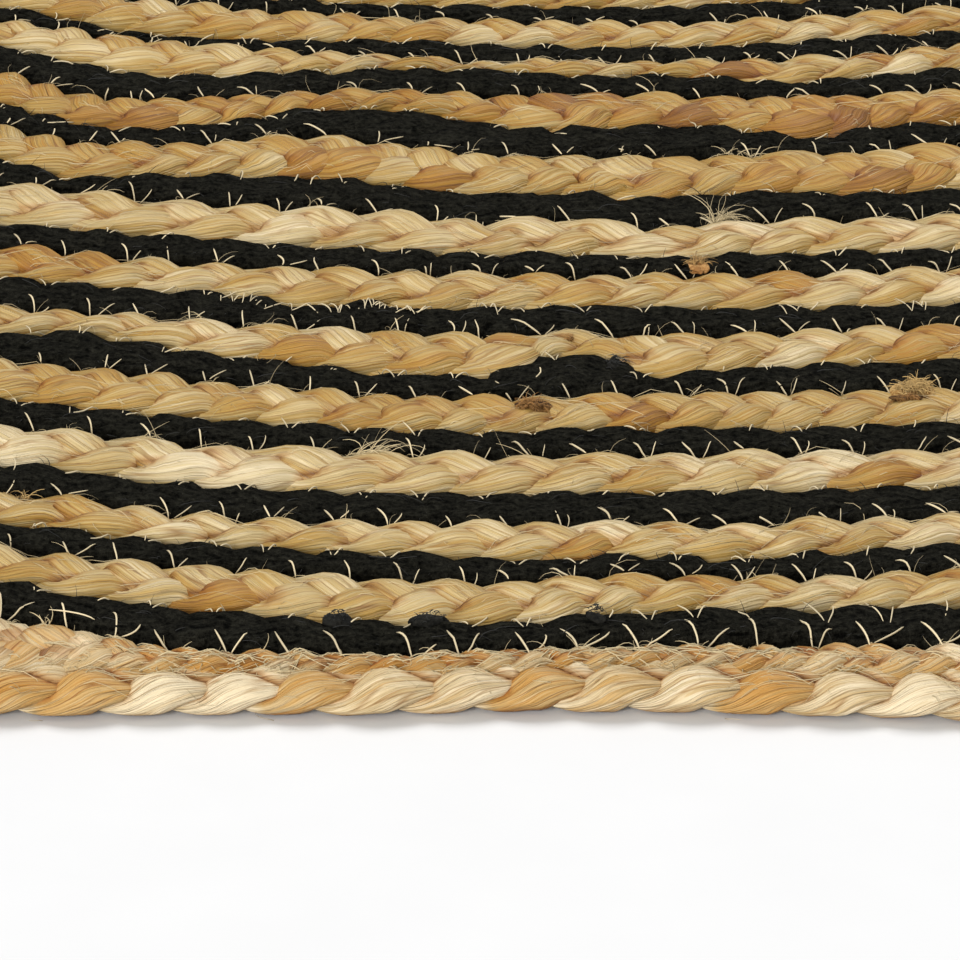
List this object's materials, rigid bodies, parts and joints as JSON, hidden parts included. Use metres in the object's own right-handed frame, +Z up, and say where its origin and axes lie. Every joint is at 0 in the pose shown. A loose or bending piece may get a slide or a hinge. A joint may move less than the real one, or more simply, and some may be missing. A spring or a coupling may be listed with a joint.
{
  "type": "round braided jute rug",
  "caption": "Flat round rug of natural and black jute braids coiled side by side, with a natural braided rim.",
  "frame": {"origin": "middle of the rug on its underside, at floor level", "axes": "+Z up out of the walked-on face, -Y towards the front edge"},
  "size_m": [1.2, 1.1972, 0.0105],
  "materials": {
    "natural_jute": "silky undyed jute fibre, cream to golden tan",
    "black_jute": "matt woolly black-dyed yarn",
    "rim_jute": "silky undyed jute fibre with orange-brown locks"
  },
  "bodies": {
    "root": {"natural_braid": "natural_jute", "black_braid": "black_jute", "rim_braid": "rim_jute"}
  },
  "joints": []
}
